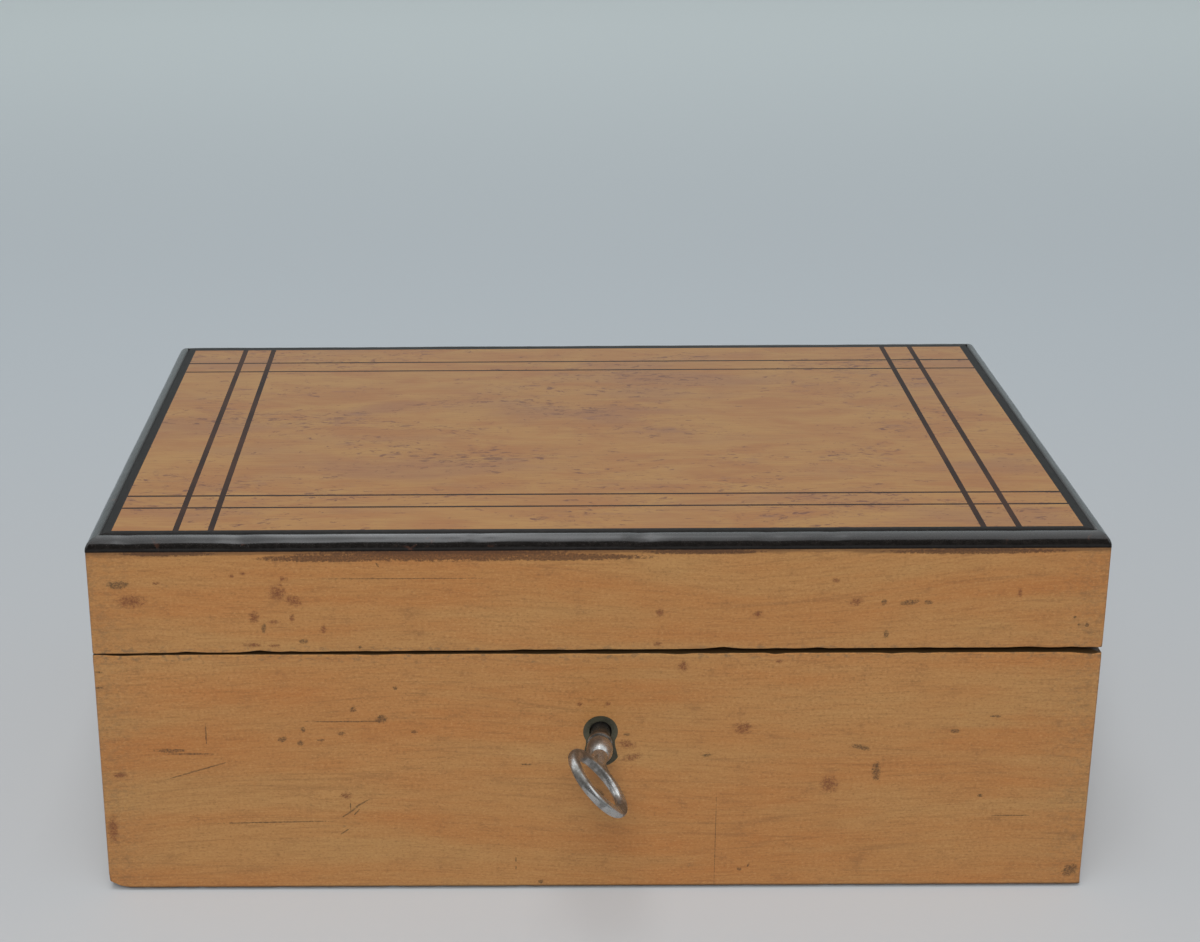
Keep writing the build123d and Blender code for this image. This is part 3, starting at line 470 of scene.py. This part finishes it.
def worn(place):
    """Where a point of the new box, in millimetres, lies on the worn one."""
    x, y, z = place
    from_side = HALF_WIDE - abs(x)
    from_face = HALF_DEEP - abs(y)
    skin = grown(min(from_side, from_face), WEAR_DEEP)
    rough = noise.fractal(Vector((x * 0.11, y * 0.11, z * 0.11)), 0.6, 2.0, 3)
    crumbs = max(0.0, noise.noise(Vector((x * 0.55, y * 0.55, z * 0.2 + 7.0))))
    chips = LID_CHIPS if z > SEAM else BASE_CHIPS
    bite = 0.0
    if y < 0.0 and from_face < 3.0:
        bite = max(grown(x - middle, half) * deep for middle, half, deep in chips)
    side = 1.0 if z > SEAM else -1.0
    rim = abs(z - SEAM) - HALF_GAP
    near_rim = grown(rim, ARRIS_WEAR)
    z += side * near_rim * skin * (bite + crumbs * 0.22 + 0.06 * rough)
    opened = grown(rim, RIM_WEAR) * grown(y + HALF_DEEP, SET_BACK)
    across = x / HALF_WIDE
    level, slope, curve = LID_SET if side > 0 else BASE_SET
    z += opened * (level + slope * across + curve * across ** 2)
    arris = grown(from_side, ARRIS_WEAR) * grown(from_face, ARRIS_WEAR)
    inward = arris * (0.02 + 0.2 * max(0.0, rough) + 0.2 * crumbs)
    foot = grown(z, ARRIS_WEAR) * skin * (0.02 + 0.22 * crumbs)
    x -= inward * (1.0 if x > 0 else -1.0)
    y -= (inward + foot * 0.3) * (1.0 if y > 0 else -1.0)
    z += foot
    wide, tall, deep = BROKEN_FOOT
    sunk = 1.0 - (y + HALF_DEEP) / deep - (x + HALF_WIDE) / wide - z / tall
    if sunk > 0.0:
        lean = 1.0 / wide ** 2 + 1.0 / tall ** 2
        x += sunk / wide / lean
        z += sunk / tall / lean
    return x, y, z


def wear_board(node, length_axis, body):
    """The board with its edges worn, its corner broken and its seam uneven."""
    piece = copied(node)
    half = (HALF_WIDE, HALF_DEEP)
    cuts = []
    for axis in (0, 1):
        for near in WEAR_NEAR:
            cuts += [(axis, half[axis] - near), (axis, near - half[axis])]
    steps = int(half[length_axis] / SLICE)
    for step in range(-steps + 1, steps):
        cuts.append((length_axis, step * SLICE))
    for axis in (0, 1):
        if axis != length_axis:
            cuts += [(axis, sign * (half[axis] - SLICE * k)) for k in (1, 2, 3) for sign in (-1, 1)]
    for near in RIM_NEAR:
        cuts += [(2, SEAM - HALF_GAP - near), (2, SEAM + HALF_GAP + near), (2, near)]
    sliced(piece, cuts)
    for point in piece.data.vertices:
        point.co = Vector(worn(point.co * 1000.0)) * 0.001
    bpy.ops.object.shade_smooth_by_angle(angle=radians(SMOOTH_BELOW))
    evened = piece.modifiers.new("flat_faces", "WEIGHTED_NORMAL")
    evened.keep_sharp = True
    bpy.ops.object.modifier_apply(modifier=evened.name)
    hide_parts(node)
    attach(piece, body)
    return piece


dress(wear_board("base_front_board", 0, "base"), front_wood)
dress(wear_board("base_back_board", 0, "base"), long_wood)
dress(wear_board("base_left_board", 1, "base"), short_wood)
dress(wear_board("base_right_board", 1, "base"), short_wood)


# ---------------------------------------------------------------------------------------
# The bottom board is let into the four sides, and the divider stands in it and makes two
# compartments. Both are the same pale wood, planed and left bare.
bare_wood, shader, place = new_finish("bare_planed_wood", 0.62)
fibres = place.stretched(0.06, 1.6, 1.6).noise(detail=3.0, roughness=0.6)
figure = place.stretched(0.01, 0.09, 0.09).noise(detail=4.0, roughness=0.6, warp=0.4)
dust = place.stretched(0.05, 0.05, 0.05).noise(detail=5.0, roughness=0.65)
tone = figure.above(0.3, 0.7).colour((0.50, 0.31, 0.15), (0.42, 0.235, 0.10))
tone = tone.under((0.27, 0.135, 0.055), fibres.above(0.5, 0.85) * 0.45)
tone = tone.under((0.23, 0.15, 0.085), dust.above(0.52, 0.75) * 0.35)
tone.feeds(shader, "Base Color")
(fibres * 0.2 + 0.5).feeds(shader, "Roughness")
fibres.bumped(0.06).feeds(shader, "Normal")
dress(nodes["base_bottom_board"], bare_wood)
dress(nodes["compartment_divider"], bare_wood)


# ---------------------------------------------------------------------------------------
# The lid's four rails were sawn off the same boards once the box was glued up, so the
# grain and the wear run on across the seam.
dress(wear_board("lid_front_rail", 0, "lid"), front_wood)
dress(wear_board("lid_back_rail", 0, "lid"), long_wood)
dress(wear_board("lid_left_rail", 1, "lid"), short_wood)
dress(wear_board("lid_right_rail", 1, "lid"), short_wood)


# ---------------------------------------------------------------------------------------
# The lid's panel is the showpiece, a figured veneer with small dark eyes drawn out along
# the grain, under a full glossy varnish that has worn a little soft. Its underside is bare.
GLOSS = 0.14
VARNISH = 0.8
PANEL_MIDDLE = 88.0


def glossy(shader, weight):
    shader.inputs["Specular IOR Level"].default_value = 0.0
    shader.inputs["Coat Weight"].default_value = weight
    shader.inputs["Coat Roughness"].default_value = GLOSS
    shader.inputs["Coat IOR"].default_value = 1.5


top_wood, shader, place = new_finish("glossy_figured_veneer", 0.5)
glossy(shader, VARNISH)
wander = place.stretched(0.012, 0.03, 0.0).noise(detail=2.0) * 12.0
wood = place.shifted(y=wander)
curl = wood.stretched(0.045, 0.12, 0.1).noise(detail=4.0, roughness=0.6, warp=0.5)
clouds = wood.stretched(0.02, 0.05, 0.1).noise(detail=3.0, roughness=0.5)
fibres = wood.stretched(0.09, 2.2, 1.0).noise(detail=4.0, roughness=0.65)
flock = place.stretched(0.030, 0.055, 0.1).noise(detail=3.0)
eyes = wood.stretched(0.26, 0.62, 0.4).noise(detail=4.0, roughness=0.68, warp=0.8)
dashes = wood.stretched(0.28, 1.5, 0.4).noise(detail=3.0, roughness=0.7)
mist = place.stretched(0.10, 0.22, 0.2).noise(detail=4.0, roughness=0.7)
tone = curl.above(0.3, 0.7).colour((0.400, 0.200, 0.051), (0.348, 0.142, 0.034))
tone = tone.under((0.285, 0.125, 0.052), clouds.above(0.48, 0.70) * 0.55)
tone = tone.under((0.18, 0.07, 0.026), fibres.above(0.46, 0.80) * 0.45)
tone = tone.under((0.43, 0.225, 0.065), fibres.above(0.50, 0.18) * 0.45)
tone = tone.under((0.21, 0.095, 0.058), mist.above(0.54, 0.72) * flock.above(0.45, 0.60) * 0.5)
tone = tone.under((0.135, 0.042, 0.020), (eyes + flock * 0.35).above(0.755, 0.86) * 0.8)
tone = tone.under((0.15, 0.055, 0.026), (dashes + flock * 0.3).above(0.76, 0.86) * 0.65)
below = place.axes()[2].above(PANEL_MIDDLE + 0.4, PANEL_MIDDLE - 0.4)
planed = fibres.above(0.35, 0.75).colour((0.47, 0.28, 0.13), (0.34, 0.185, 0.08))
tone.under(planed, below * 0.9).feeds(shader, "Base Color")
(VARNISH - below * 0.72).feeds(shader, "Coat Weight")
ripple = place.stretched(0.12, 0.12, 0.12).noise(detail=3.0, roughness=0.5)
(ripple + fibres * 0.06).bumped(0.03).feeds(shader, "Normal")
dress(nodes["lid_top_panel"], top_wood)


# ---------------------------------------------------------------------------------------
# Two lines of black-stained wood are let into the veneer along each side of the lid and
# cross at the corners. They lie under the same varnish and have a few pale nicks.
string_wood, shader, place = new_finish("black_stringing", 0.5)
glossy(shader, 0.4)
nicks = place.stretched(0.9, 0.9, 0.5).noise(detail=3.0, roughness=0.7)
tint = place.stretched(0.06, 0.06, 0.1).noise(detail=2.0)
tone = tint.above(0.3, 0.7).colour((0.024, 0.010, 0.006), (0.052, 0.021, 0.011))
tone.under((0.26, 0.17, 0.12), nicks.above(0.70, 0.76) * 0.7).feeds(shader, "Base Color")
for side in ("front", "back", "left", "right"):
    dress(nodes["stringing_" + side], string_wood)


# ---------------------------------------------------------------------------------------
# A rounded moulding of ebonised wood, mitred at the corners, edges the lid. Handling has
# dented it and rubbed its black through to brown in a few places.
black_wood, shader, place = new_finish("ebonised_moulding", 0.5)
shader.inputs["Specular IOR Level"].default_value = 0.1
shader.inputs["Coat IOR"].default_value = 1.6
shader.inputs["Coat Roughness"].default_value = 0.16
x, y, z = place.axes()
on_bead = (HALF_WIDE - abs(x)).least(HALF_DEEP - abs(y)).above(3.25, 2.95)
wear = place.stretched(0.09, 0.09, 0.12).noise(detail=4.0, roughness=0.7)
scuff = place.stretched(0.6, 0.6, 0.8).noise(detail=4.0, roughness=0.7)
rubbed = (wear * 0.6 + scuff * 0.4).above(0.60, 0.68)
tone = scuff.above(0.35, 0.75).colour((0.0055, 0.0045, 0.004), (0.012, 0.010, 0.009))
tone.under((0.060, 0.024, 0.014), rubbed * 0.8).feeds(shader, "Base Color")
(on_bead * z.above(89.5, 90.8) * (1.0 - scuff * 0.3) + 0.03).feeds(shader, "Coat Weight")
(scuff * 0.3 + wear).bumped(0.06).feeds(shader, "Normal")

# Each dent is where it is along the front length, its half length and its depth.
BEAD_DENTS = (
    (-84.0, 3.0, 0.25), (-27.0, 2.0, 0.2), (10.5, 2.5, 0.4), (40.0, 3.0, 0.2), (54.6, 3.0, 0.3),
    (98.0, 4.0, 0.2), (-110.0, 3.0, 0.25),
)
BEAD_WIDE = 4.0
LID_TOP = 92.7


def dented(place):
    """Where a point of the new moulding, in millimetres, lies on the dented one."""
    x, y, z = place
    out = min(HALF_WIDE - abs(x), HALF_DEEP - abs(y))
    on_bead = grown(out - 1.0, BEAD_WIDE) * grown(LID_TOP - z, 3.5)
    rough = noise.fractal(Vector((x * 0.09, y * 0.09, z * 0.05)), 0.6, 2.0, 3)
    deep = 0.10 * rough + 0.07
    if y < 0.0:
        deep += max(grown(x - middle, half) * depth for middle, half, depth in BEAD_DENTS)
    sink = max(0.0, deep) * on_bead
    on_side = HALF_WIDE - abs(x) < HALF_DEEP - abs(y)
    inward = sink * 0.6
    x -= inward * (1.0 if x > 0 else -1.0) if on_side else 0.0
    y -= 0.0 if on_side else inward * (1.0 if y > 0 else -1.0)
    return x, y, z - sink


for side, length_axis in (("front", 0), ("back", 0), ("left", 1), ("right", 1)):
    node = "lid_moulding_" + side
    piece = copied(node)
    steps = int((HALF_WIDE, HALF_DEEP)[length_axis] / SLICE)
    sliced(piece, [(length_axis, step * SLICE) for step in range(-steps + 1, steps)])
    for point in piece.data.vertices:
        point.co = Vector(dented(point.co * 1000.0)) * 0.001
    bpy.ops.object.shade_smooth_by_angle(angle=radians(SMOOTH_BELOW))
    dress(piece, black_wood)
    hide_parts(node)
    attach(piece, "lid")


# ---------------------------------------------------------------------------------------
# The lock is a small brass box lock: a back plate with its selvedge in the rim, a cap, a
# sliding bolt and its spring, with steel screws and a steel pin for the key's barrel.
KEYHOLE_X = 1.1
KEYHOLE_Z = 42.4
PAINTED_SHADE_BLACK = (0.012, 0.011, 0.009)


def metal(name, clean, dull, roughness, spots, metallic=1.0, painted_shade=(-79.0, 0.92)):
    """Handled metal, tarnished in soft patches, with painted shade from one depth into the keyhole."""
    finish, shader, place = new_finish(name, roughness, metallic)
    patches = place.stretched(0.25, 0.25, 0.25).noise(detail=4.0, roughness=0.6)
    fine = place.stretched(1.6, 1.6, 1.6).noise(detail=3.0, roughness=0.6)
    tarnish = (patches * 0.75 + fine * 0.25).above(spots - 0.06, spots + 0.16)
    tone = tarnish.colour(clean, dull)
    x, y, z = place.axes()
    off_axis = (x - KEYHOLE_X) * (x - KEYHOLE_X) + (z - KEYHOLE_Z) * (z - KEYHOLE_Z)
    shade_from, shade_most = painted_shade
    # Painted shade: near black past a given depth into the keyhole, within a round reach of its axis. It
    # also lands on the lock plate's inner face as a round black patch.
    shaded = off_axis.above(90.0, 60.0) * y.above(shade_from - 0.9, shade_from) * y.above(-71.0, -72.0)
    tone.under(PAINTED_SHADE_BLACK, shaded * shade_most).feeds(shader, "Base Color")
    (fine * 0.12 + tarnish * 0.2 + (roughness - 0.06)).feeds(shader, "Roughness")
    fine.bumped(0.006).feeds(shader, "Normal")
    return finish


brass = metal("aged_brass", (0.58, 0.42, 0.18), (0.27, 0.18, 0.075), 0.34, 0.46)
steel = metal("plain_steel", (0.40, 0.39, 0.38), (0.20, 0.17, 0.15), 0.36, 0.52)
screw_steel = metal("dull_screw_steel", (0.33, 0.31, 0.29), (0.15, 0.12, 0.10), 0.42, 0.48)
for node in ("lock_plate", "lock_cap", "bolt_guide_pins", "lock_bolt"):
    dress(nodes[node], brass)
for node in ("lock_drill_pin", "lock_bolt_spring"):
    dress(nodes[node], steel)
dress(nodes["lock_screws"], screw_steel)


# ---------------------------------------------------------------------------------------
# The keyhole is lined by a thin brass escutcheon let in flush with the wood. It was never
# polished and has gone a dark greenish brown.
old_brass = metal("tarnished_brass", (0.075, 0.070, 0.045), (0.045, 0.042, 0.028), 0.45, 0.44, 0.4)
dress(nodes["escutcheon"], old_brass)


# ---------------------------------------------------------------------------------------
# The key is filed from steel: a barrel drilled for the lock's pin, a bit, a collar, a
# round knob and a flat ring bow, all worn smooth and grey by handling.
KEY_CLEAN = (0.44, 0.435, 0.425)
KEY_DULL = (0.18, 0.168, 0.152)
# The key's shank is painted dark from this depth into the keyhole, as painted shade.
KEY_SHANK_SHADE = (-85.4, 0.72)
key_steel = metal("handled_key_steel", KEY_CLEAN, KEY_DULL, 0.25, 0.45, 0.88, KEY_SHANK_SHADE)
dress(nodes["key"], key_steel)


# ---------------------------------------------------------------------------------------
# Two brass butt hinges join the lid to the back, each leaf let into its edge and held by
# three screws. A steel pin runs through the knuckles.
for side in ("left", "right"):
    dress(nodes["hinge_base_leaf_" + side], brass)
    dress(nodes["hinge_lid_leaf_" + side], brass)
dress(nodes["hinge_pins"], steel)
dress(nodes["hinge_base_screws"], screw_steel)
dress(nodes["hinge_lid_screws"], screw_steel)


# ---------------------------------------------------------------------------------------
# The link plate is let into the lid's rim above the lock, and its two staples drop into
# the lock for the bolt to pass through.
dress(nodes["link_plate"], brass)
dress(nodes["link_staples"], brass)
dress(nodes["link_plate_screws"], screw_steel)
